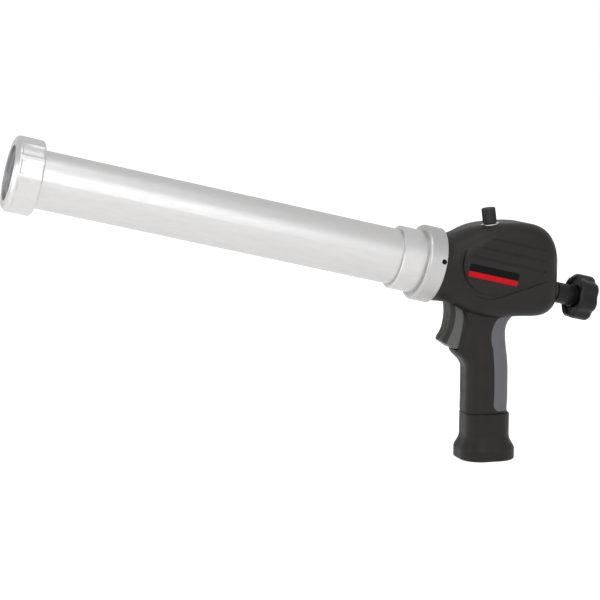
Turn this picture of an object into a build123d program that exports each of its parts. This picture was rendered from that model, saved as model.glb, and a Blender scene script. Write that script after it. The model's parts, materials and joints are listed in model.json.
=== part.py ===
from build123d import *
import os
from math import atan2, ceil, cos, degrees, pi, radians, sin, sqrt, tan

# A cordless caulking gun for foil packs: an aluminium barrel raked up from a
# pistol-grip drive unit. Millimetres, +Z up, muzzle towards -X. The origin is
# the centre of the battery foot's underside, which is the face it stands on.

# ---------------------------------------------------------------- dimensions

# Lay-out
barrel_rake = 13.35            # angle of the barrel above the horizontal, degrees
axis_height = 177.7            # height of the barrel axis straight above the origin
wall = 2.4                     # housing wall
body_half_width = 31.5         # widest part of the drive housing

# Fits
slip = 0.05                    # radial clearance of a running fit
gap = 0.4                      # clearance between parts that only pass each other
seat = 0.15                    # clearance of parts that are fixed together

# Barrel, stations measured forward along its axis
bore_radius = 25.0             # takes a 50 mm foil pack
tube_wall = 1.75
tube_front = 469.5
sleeve_radius = 30.5
sleeve_front = 100.5
collar_radius = 36.5
collar_rear = 58.4
collar_length = 19.0
boss_length = 5.5              # how far the frame's boss enters the collar

# Front ring, screwed over the tube's end
ring_radius = 34.6
ring_length = 26.3
ring_lip = 3.6                 # thickness of the lip that holds the pack's collar
ring_flutes = 12
ring_flute_depth = 0.9
flute_cutter = 14.0            # radius of the cutter that leaves each flute
washer_thick = 1.2

# Pack piston and its rack rod
piston_inset = 13.5            # from the tube's front end to the piston's
piston_front = tube_front - piston_inset
piston_length = 19.0
piston_web = 6.0
piston_clearance = 0.35
piston_stroke = 360.0
rod_radius = 8.0
rod_tail_radius = 7.0          # inside the star knob
rack_module = 1.5
rack_addendum = 1.2
rack_dedendum = 1.7
rack_run_out = 10.0            # toothed length beyond the stroke, each end

# Gear train from the motor to the rack
pinion_teeth = 14
drive_gear_teeth = 30
lay_pinion_teeth = 12
train_module = 1.0
crown_teeth = 30
output_teeth = 10
crown_module = 0.8
backlash = 0.25
pressure_angle = 20.0
drive_shaft_station = 36.0
lay_shaft_height = 27.0        # height of the motor axis above the barrel axis
drive_shaft_radius = 4.0
lay_shaft_radius = 3.0
output_shaft_radius = 2.5
bush_wall = 2.0
gear_width = 5.0
plate_inner = 17.0             # frame plates, distance from the mid-plane
plate_thick = 2.5

# Motor and planetary gearbox
motor_radius = 14.0
motor_length = 38.0
gearbox_radius = 13.5
gearbox_length = 14.0

# Star knob on the rod's rear end
hub_radius = 10.2
hub_front = -73.0
hub_length = 17.5
knob_radius = 22.5
knob_length = 22.0
knob_lobes = 7

# Speed dial on the roof
dial_x = -3.6
dial_y = -13.0
dial_seat_height = 230.2
dial_tilt = 7.5                # leans forward, degrees
dial_radius = 6.75
dial_height = 15.0
dial_ribs = 24
dial_washer_radius = 9.0
pot_radius = 7.5
pot_depth = 6.0
pot_shaft_radius = 3.0

# Grip
grip_half_width = 19.5
grip_bottom = 46.0
grip_corner = 14.0
insert_thick = 1.8

# Trigger
trigger_half_width = 11.3
trigger_pivot = (-34.0, 161.0)
trigger_pin_radius = 2.0

# Battery
stem_top = 79.0
stem_half_width = 16.7
battery_half_width = 22.5
battery_wall = 2.2
cell_radius = 8.5
cell_length = 67.0
base_thick = 5.0

# Fasteners
screw_head_radius = 3.1
screw_core_radius = 1.5
boss_radius = 4.8
set_screw_radius = 2.5
set_screw_angle = 10.0         # of the first one, above the left-hand side

# ------------------------------------------------------------------- frames

rake = radians(barrel_rake)
FORWARD = Vector(-cos(rake), 0, sin(rake))
ORIGIN = Vector(0, 0, axis_height)
BARREL_AXIS = Axis(origin=ORIGIN, direction=FORWARD)

os.makedirs("parts", exist_ok=True)


def across(station, y=0.0, height=0.0):
    """Plane square to the barrel; local x points to the gun's left, y up."""
    up = Vector(sin(rake), 0, cos(rake))
    origin = ORIGIN + FORWARD * station + up * height + Vector(0, y, 0)
    return Plane(origin=origin, x_dir=(0, -1, 0), z_dir=FORWARD)


def side(y=0.0):
    """Plane along the barrel; local x is the station, y the height above the axis."""
    return Plane(origin=ORIGIN + Vector(0, y, 0), x_dir=FORWARD, z_dir=(0, 1, 0))


def ring_bar(rear, front, outer, inner=0.0, height=0.0, y=0.0, mode=Mode.ADD):
    """A bar or tube along the barrel between two stations."""
    with BuildSketch(across(rear, y, height)) as profile:
        Circle(outer)
        if inner:
            Circle(inner, mode=Mode.SUBTRACT)
    extrude(profile.sketch, amount=front - rear, mode=mode)


def cross_bar(station, height, y_from, y_to, outer, inner=0.0, mode=Mode.ADD):
    """A bar or tube along Y, centred at a station and a height of the barrel plane."""
    with BuildSketch(side(y_from)) as profile:
        with Locations((station, height)):
            Circle(outer)
            if inner:
                Circle(inner, mode=Mode.SUBTRACT)
    extrude(profile.sketch, amount=y_to - y_from, mode=mode)


def finish(builder, name):
    """Label a finished piece and write it out."""
    builder.part.label = name
    export_step(builder.part, "parts/" + name + ".step")


# ------------------------------------------------------------- housing form

# Cross-sections of the drive housing from the collar to the rear:
# x on the barrel axis, lean of the plane, half width, top and bottom over the
# axis, radius of the upper and of the lower corners.
neck_radius = 33.0
body_sections = [
    (-56.7, barrel_rake, neck_radius, neck_radius, -neck_radius, 32.5, 32.5),
    (-48.5, barrel_rake, neck_radius - 0.2, neck_radius + 1.2, -neck_radius, 31.5, 31.0),
    (-33.0, 10.0, body_half_width + 0.4, 42.6, -33.5, 25.0, 24.0),
    (-10.0, 5.0, body_half_width, 51.2, -38.5, 17.0, 14.0),
    (15.0, 0.0, body_half_width, 57.9, -33.2, 15.0, 12.0),
    (38.0, 0.0, body_half_width, 61.6, -28.0, 15.0, 12.0),
    (53.0, 0.0, body_half_width - 1.5, 58.2, -22.5, 15.0, 14.0),
    (61.5, 0.0, body_half_width - 6.5, 48.5, -13.0, 13.0, 10.0),
    (65.7, 0.0, body_half_width - 14.5, 36.5, -6.5, 9.0, 6.5),
]


def lofted_body(inset=0.0, front_cut=0.0):
    """The drive housing's outer form, or its cavity when inset by the wall."""
    with BuildPart() as form:
        last = len(body_sections) - 1
        for index, row in enumerate(body_sections):
            x, lean, half, top, bottom, upper, lower = row
            if index == 0:
                x -= front_cut
            if index == last:
                x -= inset
            lean = radians(lean)
            origin = (x, 0, axis_height - x * tan(rake))
            plane = Plane(origin=origin, x_dir=(0, -1, 0), z_dir=(-cos(lean), 0, sin(lean)))
            w = half - inset
            t = top - inset
            b = bottom + inset
            u = upper - inset
            v = lower - inset
            with BuildSketch(plane):
                with BuildLine():
                    Line((-w + u, t), (w - u, t))
                    RadiusArc((w - u, t), (w, t - u), u)
                    Line((w, t - u), (w, b + v))
                    RadiusArc((w, b + v), (w - v, b), v)
                    Line((w - v, b), (-w + v, b))
                    RadiusArc((-w + v, b), (-w, b + v), v)
                    Line((-w, b + v), (-w, t - u))
                    RadiusArc((-w, t - u), (-w + u, t), u)
                make_face()
        loft()
    return form.part


# Cross-sections of the grip: height, front x, rear x, half width.
grip_run_on = 12.0             # how far the inset forms reach below the grip
grip_sections = [
    (grip_bottom, -24.3, 19.0, grip_half_width),
    (58.0, -24.4, 19.0, grip_half_width),
    (70.0, -24.4, 19.1, grip_half_width),
    (82.0, -24.4, 19.1, grip_half_width),
    (94.0, -24.5, 18.7, grip_half_width),
    (104.0, -24.8, 17.6, grip_half_width),
    (114.0, -25.2, 16.3, grip_half_width),
    (124.0, -26.0, 15.6, grip_half_width + 0.3),
    (136.0, -28.0, 18.5, grip_half_width + 1.5),
    (150.0, -30.0, 29.0, grip_half_width + 5.0),
]


def lofted_grip(inset=0.0):
    """The grip's outer form, or a form inset from it that runs on below it."""
    rows = list(grip_sections)
    if inset:
        rows.insert(0, (grip_bottom - grip_run_on, *grip_sections[0][1:]))
    with BuildPart() as form:
        for z, front, rear, half in rows:
            with BuildSketch(Plane.XY.offset(z)):
                with Locations(((front + rear) / 2, 0)):
                    RectangleRounded(rear - front - 2 * inset, 2 * (half - inset), grip_corner - inset)
        loft()
    return form.part


# Cheeks beside the trigger and the nub below it: height and front x of each
# cross-section of the block that the trigger's pocket is cut from.
guard_half_width = 16.3
guard_corner = 11.0
guard_rear = 0.0
nub_height = 108.0
guard_sections = [
    (84.0, -23.6),
    (90.0, -24.4),
    (95.0, -26.3),
    (100.0, -30.3),
    (104.0, -34.4),
    (nub_height, -36.8),
    (113.0, -36.2),
    (120.0, -34.3),
    (130.0, -32.2),
    (139.0, -31.2),
    (147.0, -32.0),
    (154.0, -35.0),
    (162.0, -38.0),
]
pocket_half_width = trigger_half_width + 0.7
pocket_floor = nub_height + 0.8


def guard_form(inset=0.0):
    """Cheeks and nub as one block; the trigger's pocket is cut from it later."""
    with BuildPart() as form:
        for z, front in guard_sections:
            with BuildSketch(Plane.XY.offset(z)):
                with Locations(((front + inset + guard_rear) / 2, 0)):
                    length = guard_rear - front - inset
                    RectangleRounded(length, 2 * (guard_half_width - inset), guard_corner - inset)
        loft()
    return form.part


# Grip insert outline on the side of the grip, front edge only; it wraps round
# the back of the grip.
insert_bottom = 48.0
insert_top = 141.5


def insert_outline():
    """Side view of the soft insert, run past the back of the grip."""
    with BuildLine() as outline:
        Line((40.0, insert_bottom), (7.0, insert_bottom))
        RadiusArc((7.0, insert_bottom), (0.2, insert_bottom + 6.8), 6.8)
        ThreePointArc((0.2, insert_bottom + 6.8), (0.6, 84.0), (-1.2, 110.0))
        ThreePointArc((-1.2, 110.0), (-3.0, 126.0), (0.6, 137.0))
        ThreePointArc((0.6, 137.0), (4.4, 140.4), (9.5, insert_top))
        Line((9.5, insert_top), (40.0, insert_top))
        Line((40.0, insert_top), (40.0, insert_bottom))
    make_face(outline.edges())


# Side panel: a round-nosed field that runs up to the rear, with a channel
# round it and three louvre grooves parallel to the barrel.
panel_centre = (12.2, 13.4)
panel_radius = 28.6
panel_channel = 5.2
panel_depth = 1.3
panel_rise = 29.0              # slope of the field against the barrel, degrees
groove_width = 2.3
groove_depth = 1.1
grooves = [(17.7, -41.0, 37.7), (25.3, -46.5, 27.4), (34.0, -44.5, 17.6)]
label_centre = (7.6, 4.2)
label_size = (51.5, 12.2)
label_thick = 0.8


def panel_cuts(sign):
    """Cut the channel and the louvre grooves into one side of the housing."""
    face = side(sign * (body_half_width + 6.0))
    reach = -sign * (6.0 + panel_depth)
    shift = 40.0
    rise = radians(panel_rise)
    middle = (panel_centre[0] - shift * cos(rise), panel_centre[1] + shift * sin(rise))
    with BuildSketch(face) as channel:
        with Locations(Location(middle, -panel_rise)):
            SlotOverall(2 * (shift + panel_radius + panel_channel), 2 * (panel_radius + panel_channel))
            SlotOverall(2 * (shift + panel_radius), 2 * panel_radius, mode=Mode.SUBTRACT)
    extrude(channel.sketch, amount=reach, mode=Mode.SUBTRACT)
    with BuildSketch(face) as louvres:
        for front, rear, height in grooves:
            with Locations(((front + rear) / 2, height)):
                SlotOverall(front - rear, groove_width)
    extrude(louvres.sketch, amount=-sign * (6.0 + groove_depth), mode=Mode.SUBTRACT)


# Housing screws and the trigger pin, in row coordinates (x, z).
housing_screws_at = [
    (-23.8, 224.0),
    (47.0, 216.0),
    (50.5, 151.0),
    (25.0, 150.0),
    (-24.5, 101.0),
    (8.0, 100.0),
]
rear_bush_radius = 9.4

dial_lean = radians(dial_tilt)
dial_plane = Plane(origin=(dial_x, dial_y, dial_seat_height), x_dir=(cos(dial_lean), 0, sin(dial_lean)),
                   z_dir=(-sin(dial_lean), 0, cos(dial_lean)))

# ------------------------------------------------------------------ housing

outer_form = lofted_body() + lofted_grip() + guard_form()
cavity_form = lofted_body(wall, 4.0) + lofted_grip(wall) + guard_form(wall)
insert_bed = lofted_grip(insert_thick) + lofted_body(insert_thick)

motor_rear = -52.0
gearbox_rear = motor_rear + motor_length
gearbox_front = gearbox_rear + gearbox_length
motor_ribs = [motor_rear + 6.0, gearbox_rear - 6.0]
screw_tip = 9.0                # how far a screw reaches past the mid-plane
head_depth = 11.0              # underside of a screw head from the mid-plane


def y_bars(centres, y_from, y_to, radius, mode=Mode.ADD):
    """Bars along Y at row positions (x, z)."""
    with BuildSketch(Plane(origin=(0, y_from, 0), x_dir=(1, 0, 0), z_dir=(0, -1, 0))) as profile:
        with Locations(*centres):
            Circle(radius)
    extrude(profile.sketch, amount=y_from - y_to, mode=mode)


# Motor cradles: walls across the cavity, open below for the rod.
with BuildPart() as cradles:
    for station in motor_ribs:
        with BuildSketch(across(station)):
            with Locations((0, 25.0)):
                Rectangle(80, 34)
        extrude(amount=2.2)
    add(outer_form, mode=Mode.INTERSECT)

# Bosses for the housing screws and for the trigger pin.
with BuildPart() as bosses:
    y_bars(housing_screws_at, 40, -40, boss_radius)
    y_bars([trigger_pivot], 40, -40, trigger_pin_radius + 2.4)
    add(outer_form, mode=Mode.INTERSECT)

# Bed of the soft insert.
with BuildPart() as bed:
    with BuildSketch(Plane.XZ):
        insert_outline()
        offset(amount=seat)
    extrude(amount=40, both=True)
    add(insert_bed, mode=Mode.SUBTRACT)

pocket_outline = [(-60.0, pocket_floor), (-13.0, pocket_floor), (-13.0, 168.0), (-45.6, 168.0),
                  (-45.6, 150.0), (-60.0, 150.0)]

with BuildPart() as shell:
    add(outer_form)
    add(cavity_form, mode=Mode.SUBTRACT)
    add(cradles.part)
    add(bosses.part)
    add(bed.part, mode=Mode.SUBTRACT)

for name, sign in (("housing_left", -1), ("housing_right", 1)):
    with BuildPart() as half:
        add(shell.part)
        with BuildSketch(Plane.XZ):
            Rectangle(600, 1200)
        extrude(amount=sign * 80, mode=Mode.SUBTRACT)
        # Trigger pocket.
        with BuildSketch(Plane.XZ):
            with BuildLine():
                Polyline(*pocket_outline, close=True)
            make_face()
        extrude(amount=pocket_half_width, both=True, mode=Mode.SUBTRACT)
        # Room for the motor and its gearbox, and for the guide bush.
        ring_bar(motor_rear - 0.5, gearbox_front, motor_radius + seat, height=lay_shaft_height,
                 mode=Mode.SUBTRACT)
        ring_bar(-90.0, 60.0, rear_bush_radius + seat, mode=Mode.SUBTRACT)
        panel_cuts(sign)
        y_bars([trigger_pivot], 16, -16, trigger_pin_radius + slip, mode=Mode.SUBTRACT)
        if sign < 0:
            # Dial seat, its shaft hole, the label's recess and the screws' pilot holes.
            with BuildSketch(dial_plane):
                Circle(dial_washer_radius + gap)
            extrude(amount=10.0, mode=Mode.SUBTRACT)
            with BuildSketch(dial_plane):
                Circle(pot_shaft_radius + 1.0)
            extrude(amount=-12.0, mode=Mode.SUBTRACT)
            with BuildSketch(side(-body_half_width + label_thick / 2)):
                with Locations(label_centre):
                    RectangleRounded(label_size[0] + 2 * seat, label_size[1] + 2 * seat, 1.2)
            extrude(amount=-4.0, mode=Mode.SUBTRACT)
            y_bars(housing_screws_at, 1, -screw_tip - 1, screw_core_radius + slip, mode=Mode.SUBTRACT)
        else:
            # Screw heads go in from the right; the shank holes are clearance holes.
            y_bars(housing_screws_at, 40, head_depth, screw_head_radius + gap, mode=Mode.SUBTRACT)
            y_bars(housing_screws_at, 40, -1, screw_core_radius + 0.3, mode=Mode.SUBTRACT)
    finish(half, name)

with BuildPart() as grip_insert:
    add(lofted_grip() + lofted_body())
    add(insert_bed, mode=Mode.SUBTRACT)
    with BuildSketch(Plane.XZ):
        insert_outline()
    extrude(amount=40, both=True, mode=Mode.INTERSECT)
finish(grip_insert, "grip_insert")

with BuildPart() as label_plate:
    with BuildSketch(side(-body_half_width + label_thick / 2)):
        with Locations(label_centre):
            RectangleRounded(*label_size, 1.0)
    extrude(amount=-label_thick)
finish(label_plate, "label_plate")

with BuildPart() as housing_screws:
    y_bars(housing_screws_at, head_depth, -screw_tip, screw_core_radius)
    y_bars(housing_screws_at, head_depth + 2.2, head_depth, screw_head_radius)
    y_bars(housing_screws_at, head_depth + 3.0, head_depth + 1.0, 1.1, mode=Mode.SUBTRACT)
finish(housing_screws, "housing_screws")

# ------------------------------------------------------------ barrel, collar

tube_radius = bore_radius + tube_wall
boss_front = collar_rear + boss_length
tube_rear = boss_front + 0.6
collar_front = collar_rear + collar_length
frame_radius = neck_radius - wall - 1.0

with BuildPart() as barrel_tube:
    ring_bar(tube_rear, tube_front, tube_radius, bore_radius)
finish(barrel_tube, "barrel_tube")

with BuildPart() as barrel_sleeve:
    ring_bar(tube_rear, sleeve_front, sleeve_radius, tube_radius + slip)
    rims = barrel_sleeve.edges().filter_by(GeomType.CIRCLE)
    outer_rim = rims.sort_by(BARREL_AXIS)[-2:].sort_by(SortBy.RADIUS)[-1:]
    chamfer(outer_rim, length=1.2)
finish(barrel_sleeve, "barrel_sleeve")


def round_the_collar(amount_at, depth, radius, mode):
    """Radial bars at the three set screws, from one radius inwards."""
    for turn in range(3):
        angle = radians(set_screw_angle + 120 * turn)
        out = Vector(0, -1, 0) * cos(angle) + Vector(sin(rake), 0, cos(rake)) * sin(angle)
        start = ORIGIN + FORWARD * set_screw_station + out * amount_at
        with BuildSketch(Plane(origin=start, x_dir=FORWARD, z_dir=out)) as profile:
            Circle(radius)
        extrude(profile.sketch, amount=-depth, mode=mode)


set_screw_station = collar_rear + 3.4
with BuildPart() as barrel_collar:
    ring_bar(collar_rear, collar_front, collar_radius, sleeve_radius + slip)
    front_rim = barrel_collar.edges().filter_by(GeomType.CIRCLE).sort_by(BARREL_AXIS)[-2:]
    fillet(front_rim.sort_by(SortBy.RADIUS)[-1:], radius=3.0)
    rear_rim = barrel_collar.edges().filter_by(GeomType.CIRCLE).sort_by(BARREL_AXIS)[:2]
    chamfer(rear_rim.sort_by(SortBy.RADIUS)[-1:], length=0.6)
    round_the_collar(collar_radius + 1, 8.0, set_screw_radius + slip, Mode.SUBTRACT)
finish(barrel_collar, "barrel_collar")

with BuildPart() as collar_set_screws:
    screw_top = collar_radius - 1.6
    round_the_collar(screw_top, screw_top - sleeve_radius, set_screw_radius, Mode.ADD)
    round_the_collar(screw_top, 2.0, 1.3, Mode.SUBTRACT)
finish(collar_set_screws, "collar_set_screws")

# Front ring: a fluted nut whose lip would clamp the nozzle's flange against
# the washer and the tube's end.
ring_front = tube_front + washer_thick + seat + ring_lip
ring_rear = ring_front - ring_length
with BuildPart() as front_ring:
    ring_bar(ring_rear, ring_front, ring_radius)
    rims = front_ring.edges().filter_by(GeomType.CIRCLE).sort_by(BARREL_AXIS)
    chamfer(rims[-1:], length=2.6, length2=2.0)
    chamfer(front_ring.edges().filter_by(GeomType.CIRCLE).sort_by(BARREL_AXIS)[:1], length=1.2)
    with BuildSketch(across(ring_rear)):
        with PolarLocations(ring_radius + flute_cutter - ring_flute_depth, ring_flutes, start_angle=15):
            Circle(flute_cutter)
    extrude(amount=ring_length - 4.0, mode=Mode.SUBTRACT)
    ring_bar(ring_rear - 1, ring_front - ring_lip, tube_radius + 3 * slip, mode=Mode.SUBTRACT)
    ring_bar(ring_rear - 1, ring_front + 1, bore_radius + gap, mode=Mode.SUBTRACT)
finish(front_ring, "front_ring")

with BuildPart() as ring_washer:
    washer_rear = tube_front + seat / 2
    ring_bar(washer_rear, washer_rear + washer_thick, tube_radius - slip, bore_radius + gap)
finish(ring_washer, "ring_washer")

# ------------------------------------------------------------- gear geometry


def involute(angle):
    return tan(angle) - angle


def gear_outline(centre, teeth, module, addendum, dedendum, first_tooth):
    """Closed point list of a spur gear, its first tooth pointing at an angle in degrees."""
    alpha = radians(pressure_angle)
    pitch = teeth * module / 2
    base = pitch * cos(alpha)
    root = pitch - dedendum
    tip = pitch + addendum
    start = max(root, base)
    radii = [root] + [start + (tip - start) * step / 4 for step in range(1 if start == root else 0, 5)]
    half_at_pitch = pi / (2 * teeth) - backlash / (2 * pitch)
    flank = []
    for radius in radii:
        local = 0.0 if radius <= base else sqrt((radius / base) ** 2 - 1)
        unwound = local - atan2(local, 1)
        flank.append((radius, half_at_pitch + involute(alpha) - unwound))
    sides = [(radius, -half) for radius, half in flank] + [(radius, half) for radius, half in reversed(flank)]
    points = []
    for tooth in range(teeth):
        middle = radians(first_tooth) + 2 * pi * tooth / teeth
        for radius, turn in sides:
            x = centre[0] + radius * cos(middle + turn)
            y = centre[1] + radius * sin(middle + turn)
            points.append((x, y))
    return points


rack_pitch_radius = rod_radius - rack_addendum
pinion_radius = pinion_teeth * rack_module / 2
drive_shaft_height = rack_pitch_radius + pinion_radius + 0.1
centre_distance = (drive_gear_teeth + lay_pinion_teeth) * train_module / 2 + 0.05
lay_rise = lay_shaft_height - drive_shaft_height
lay_shaft_station = drive_shaft_station - sqrt(centre_distance ** 2 - lay_rise ** 2)
drive_at = (drive_shaft_station, drive_shaft_height)
lay_at = (lay_shaft_station, lay_shaft_height)
lay_angle = degrees(atan2(lay_rise, lay_shaft_station - drive_shaft_station))
train_addendum = 0.8 * train_module
train_dedendum = 1.15 * train_module

# ------------------------------------------------------------------- train

gear_y = -15.0                 # left face of the spur pair
rack_pinion_y = (-5.6, 2.6)
shaft_end = plate_inner + plate_thick

with BuildPart() as rack_pinion:
    with BuildSketch(side(rack_pinion_y[0])):
        with BuildLine():
            Polyline(*gear_outline(drive_at, pinion_teeth, rack_module, 0.87 * rack_module,
                                   1.15 * rack_module, -90.0), close=True)
        make_face()
    extrude(amount=rack_pinion_y[1] - rack_pinion_y[0])
    cross_bar(*drive_at, -shaft_end, shaft_end, drive_shaft_radius)
finish(rack_pinion, "rack_pinion")

with BuildPart() as drive_gear:
    with BuildSketch(side(gear_y)):
        with BuildLine():
            Polyline(*gear_outline(drive_at, drive_gear_teeth, train_module, train_addendum,
                                   train_dedendum, lay_angle), close=True)
        make_face()
    extrude(amount=gear_width)
    cross_bar(*drive_at, gear_y - 1, gear_y + gear_width + 2.5, drive_shaft_radius + 2.5)
    cross_bar(*drive_at, gear_y - 3, gear_y + gear_width + 5, drive_shaft_radius + slip, mode=Mode.SUBTRACT)
finish(drive_gear, "drive_gear")

with BuildPart() as layshaft:
    with BuildSketch(side(gear_y - 0.5)):
        with BuildLine():
            Polyline(*gear_outline(lay_at, lay_pinion_teeth, train_module, train_addendum, train_dedendum,
                                   lay_angle + 180 + 180 / lay_pinion_teeth), close=True)
        make_face()
    extrude(amount=gear_width + 1.0)
    cross_bar(*lay_at, -shaft_end, shaft_end, lay_shaft_radius)
finish(layshaft, "layshaft")

crown_radius = crown_teeth * crown_module / 2
crown_face = 5.6               # y of the crown gear's tooth roots
crown_tooth = 2.2
with BuildPart() as crown_gear:
    cross_bar(*lay_at, crown_face, crown_face + 3.0, crown_radius + 2.6)
    cross_bar(*lay_at, crown_face + 3.0, crown_face + 7.0, lay_shaft_radius + 3.0)
    with BuildSketch(side(crown_face)):
        with Locations(lay_at):
            with PolarLocations(crown_radius, crown_teeth, start_angle=180):
                Rectangle(3.0, 1.5)
    extrude(amount=-crown_tooth, taper=12)
    cross_bar(*lay_at, 0, 20, lay_shaft_radius + slip, mode=Mode.SUBTRACT)
finish(crown_gear, "crown_gear")

output_front = lay_shaft_station - crown_radius + 2.0
with BuildPart() as output_pinion:
    with BuildSketch(across(output_front - 5.0, 0, lay_shaft_height)):
        with BuildLine():
            Polyline(*gear_outline((0, 0), output_teeth, crown_module, 0.6, 1.0,
                                   180 + 180 / output_teeth), close=True)
        make_face()
    extrude(amount=5.0)
    ring_bar(gearbox_front - 6.0, output_front - 4.5, output_shaft_radius, height=lay_shaft_height)
finish(output_pinion, "output_pinion")

# Gear frame: a bulkhead in the housing's neck with a boss for the collar, two
# side plates for the cross shafts and a rear web for the gearbox.
frame_disc_rear = 52.0
bush_outer = rod_radius + slip + bush_wall
web_station = -1.5
plate_bottom = 9.5
plate_top = 33.2
plate_outline = [
    (web_station, plate_bottom),
    (web_station, plate_top),
    (24.0, plate_top),
    (34.0, 27.0),
    (44.0, 22.0),
    (frame_disc_rear + 1, 14.0),
    (frame_disc_rear + 1, -8.0),
    (40.0, 4.0),
    (24.0, plate_bottom),
]
shafts = ((drive_at, drive_shaft_radius), (lay_at, lay_shaft_radius))
with BuildPart() as gear_frame:
    ring_bar(frame_disc_rear, collar_rear, frame_radius)
    ring_bar(collar_rear, boss_front, sleeve_radius - seat)
    for y in (-shaft_end, plate_inner):
        with BuildSketch(side(y)):
            with BuildLine():
                Polyline(*plate_outline, close=True)
            make_face()
        extrude(amount=plate_thick)
    with BuildSketch(across(web_station, 0, (plate_top + plate_bottom) / 2)):
        Rectangle(2 * shaft_end, plate_top - plate_bottom)
    extrude(amount=2.5)
    ring_bar(web_station - 1, web_station + 4, 6.0, height=lay_shaft_height, mode=Mode.SUBTRACT)
    ring_bar(frame_disc_rear - 1, boss_front + 1, bush_outer + seat / 2, mode=Mode.SUBTRACT)
    for (station, height), radius in shafts:
        cross_bar(station, height, -30, 30, radius + slip + bush_wall + seat / 2, mode=Mode.SUBTRACT)
finish(gear_frame, "gear_frame")

with BuildPart() as shaft_bushes:
    for (station, height), radius in shafts:
        for y in (-shaft_end, plate_inner):
            cross_bar(station, height, y, y + plate_thick, radius + slip + bush_wall, radius + slip)
finish(shaft_bushes, "shaft_bushes")

with BuildPart() as front_rod_bush:
    ring_bar(frame_disc_rear, boss_front, bush_outer, rod_radius + slip)
finish(front_rod_bush, "front_rod_bush")

rear_bush_rear = hub_front + 0.7
with BuildPart() as rear_guide_bush:
    ring_bar(rear_bush_rear, -58.5, rear_bush_radius, rod_radius + slip)
    ring_bar(-60.5, -58.5, rear_bush_radius + 1.2, rod_radius + slip)
finish(rear_guide_bush, "rear_guide_bush")

with BuildPart() as motor:
    ring_bar(motor_rear, gearbox_rear, motor_radius, height=lay_shaft_height)
    ring_bar(motor_rear - 3.0, motor_rear, 5.0, height=lay_shaft_height)
    rear_rims = motor.edges().filter_by(GeomType.CIRCLE).sort_by(SortBy.RADIUS)[-2:]
    chamfer(rear_rims, length=0.8)
finish(motor, "motor")

with BuildPart() as planetary_gearbox:
    ring_bar(gearbox_rear + slip, gearbox_front - seat - 1.5, gearbox_radius, height=lay_shaft_height)
    ring_bar(gearbox_front - 7.0, gearbox_front + 1.0, output_shaft_radius + slip, height=lay_shaft_height,
             mode=Mode.SUBTRACT)
finish(planetary_gearbox, "planetary_gearbox")

# ------------------------------------------------------- piston and rack rod

piston_rear = piston_front - piston_length
rod_front = piston_front - piston_web
seal_width = 3.4
seal_depth = 2.0
seal_station = piston_front - 10.5
rod_socket = 8.0               # length of the rod's nose inside the piston's hub
rod_nose_radius = rod_radius - 0.5
with BuildPart() as piston:
    ring_bar(piston_rear, piston_front, bore_radius - piston_clearance)
    chamfer(piston.edges().filter_by(GeomType.CIRCLE).sort_by(BARREL_AXIS)[-1:], length=1.5)
    ring_bar(piston_rear - 1, rod_front, bore_radius - piston_clearance - 4.0, mode=Mode.SUBTRACT)
    ring_bar(seal_station, seal_station + seal_width + 2 * slip, bore_radius + 1,
             bore_radius - piston_clearance - seal_depth, mode=Mode.SUBTRACT)
    ring_bar(rod_front - rod_socket, rod_front, rod_radius + 5.0)
    ring_bar(rod_front - rod_socket - 1, rod_front - 1.5, rod_nose_radius + slip, mode=Mode.SUBTRACT)
finish(piston, "piston")

with BuildPart() as piston_seal:
    ring_bar(seal_station + slip, seal_station + slip + seal_width, bore_radius - slip,
             bore_radius - piston_clearance - seal_depth + slip)
finish(piston_seal, "piston_seal")

rack_pitch = pi * rack_module
rack_teeth = ceil((piston_stroke + 2 * rack_run_out) / rack_pitch)
rod_rear = hub_front - hub_length - 4.0
rack_root = rod_radius - rack_addendum - rack_dedendum
slope = tan(radians(pressure_angle))
half_gap_root = rack_pitch / 4 - rack_dedendum * slope + backlash / 2
half_gap_tip = rack_pitch / 4 + rack_addendum * slope + backlash / 2
first_gap = drive_shaft_station - rack_pitch * round(rack_run_out / rack_pitch)
tail = rod_rear + 14.0
rod_profile = [(rod_rear, 0.0), (rod_rear, rod_tail_radius), (tail, rod_tail_radius), (tail, rod_radius)]
for tooth in range(rack_teeth):
    middle = first_gap + tooth * rack_pitch
    rod_profile.append((middle - half_gap_tip, rod_radius))
    rod_profile.append((middle - half_gap_root, rack_root))
    rod_profile.append((middle + half_gap_root, rack_root))
    rod_profile.append((middle + half_gap_tip, rod_radius))
shoulder = rod_front - rod_socket - 0.1
nose = rod_front - 1.6
rod_profile += [(shoulder, rod_radius), (shoulder, rod_nose_radius), (nose, rod_nose_radius), (nose, 0.0)]
with BuildPart() as rack_rod:
    with BuildSketch(side()):
        with BuildLine():
            Polyline(*rod_profile, close=True)
        make_face()
    revolve(axis=BARREL_AXIS)
    # The flat that faces away from the pinion, and faces it after half a turn.
    flat_height = rack_root + seat
    flat_length = rack_teeth * rack_pitch + 6.0
    with BuildSketch(across(first_gap - 4.0, 0, -flat_height - rod_radius)):
        Rectangle(4 * rod_radius, 2 * rod_radius)
    extrude(amount=flat_length, mode=Mode.SUBTRACT)
finish(rack_rod, "rack_rod")

knob_front = hub_front - hub_length
with BuildPart() as rod_hub:
    ring_bar(knob_front, hub_front, hub_radius)
    chamfer(rod_hub.edges().filter_by(GeomType.CIRCLE).sort_by(BARREL_AXIS)[-1:], length=0.8)
    ring_bar(knob_front - 1, hub_front + 1, rod_radius + seat / 2, mode=Mode.SUBTRACT)
finish(rod_hub, "rod_hub")

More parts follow.
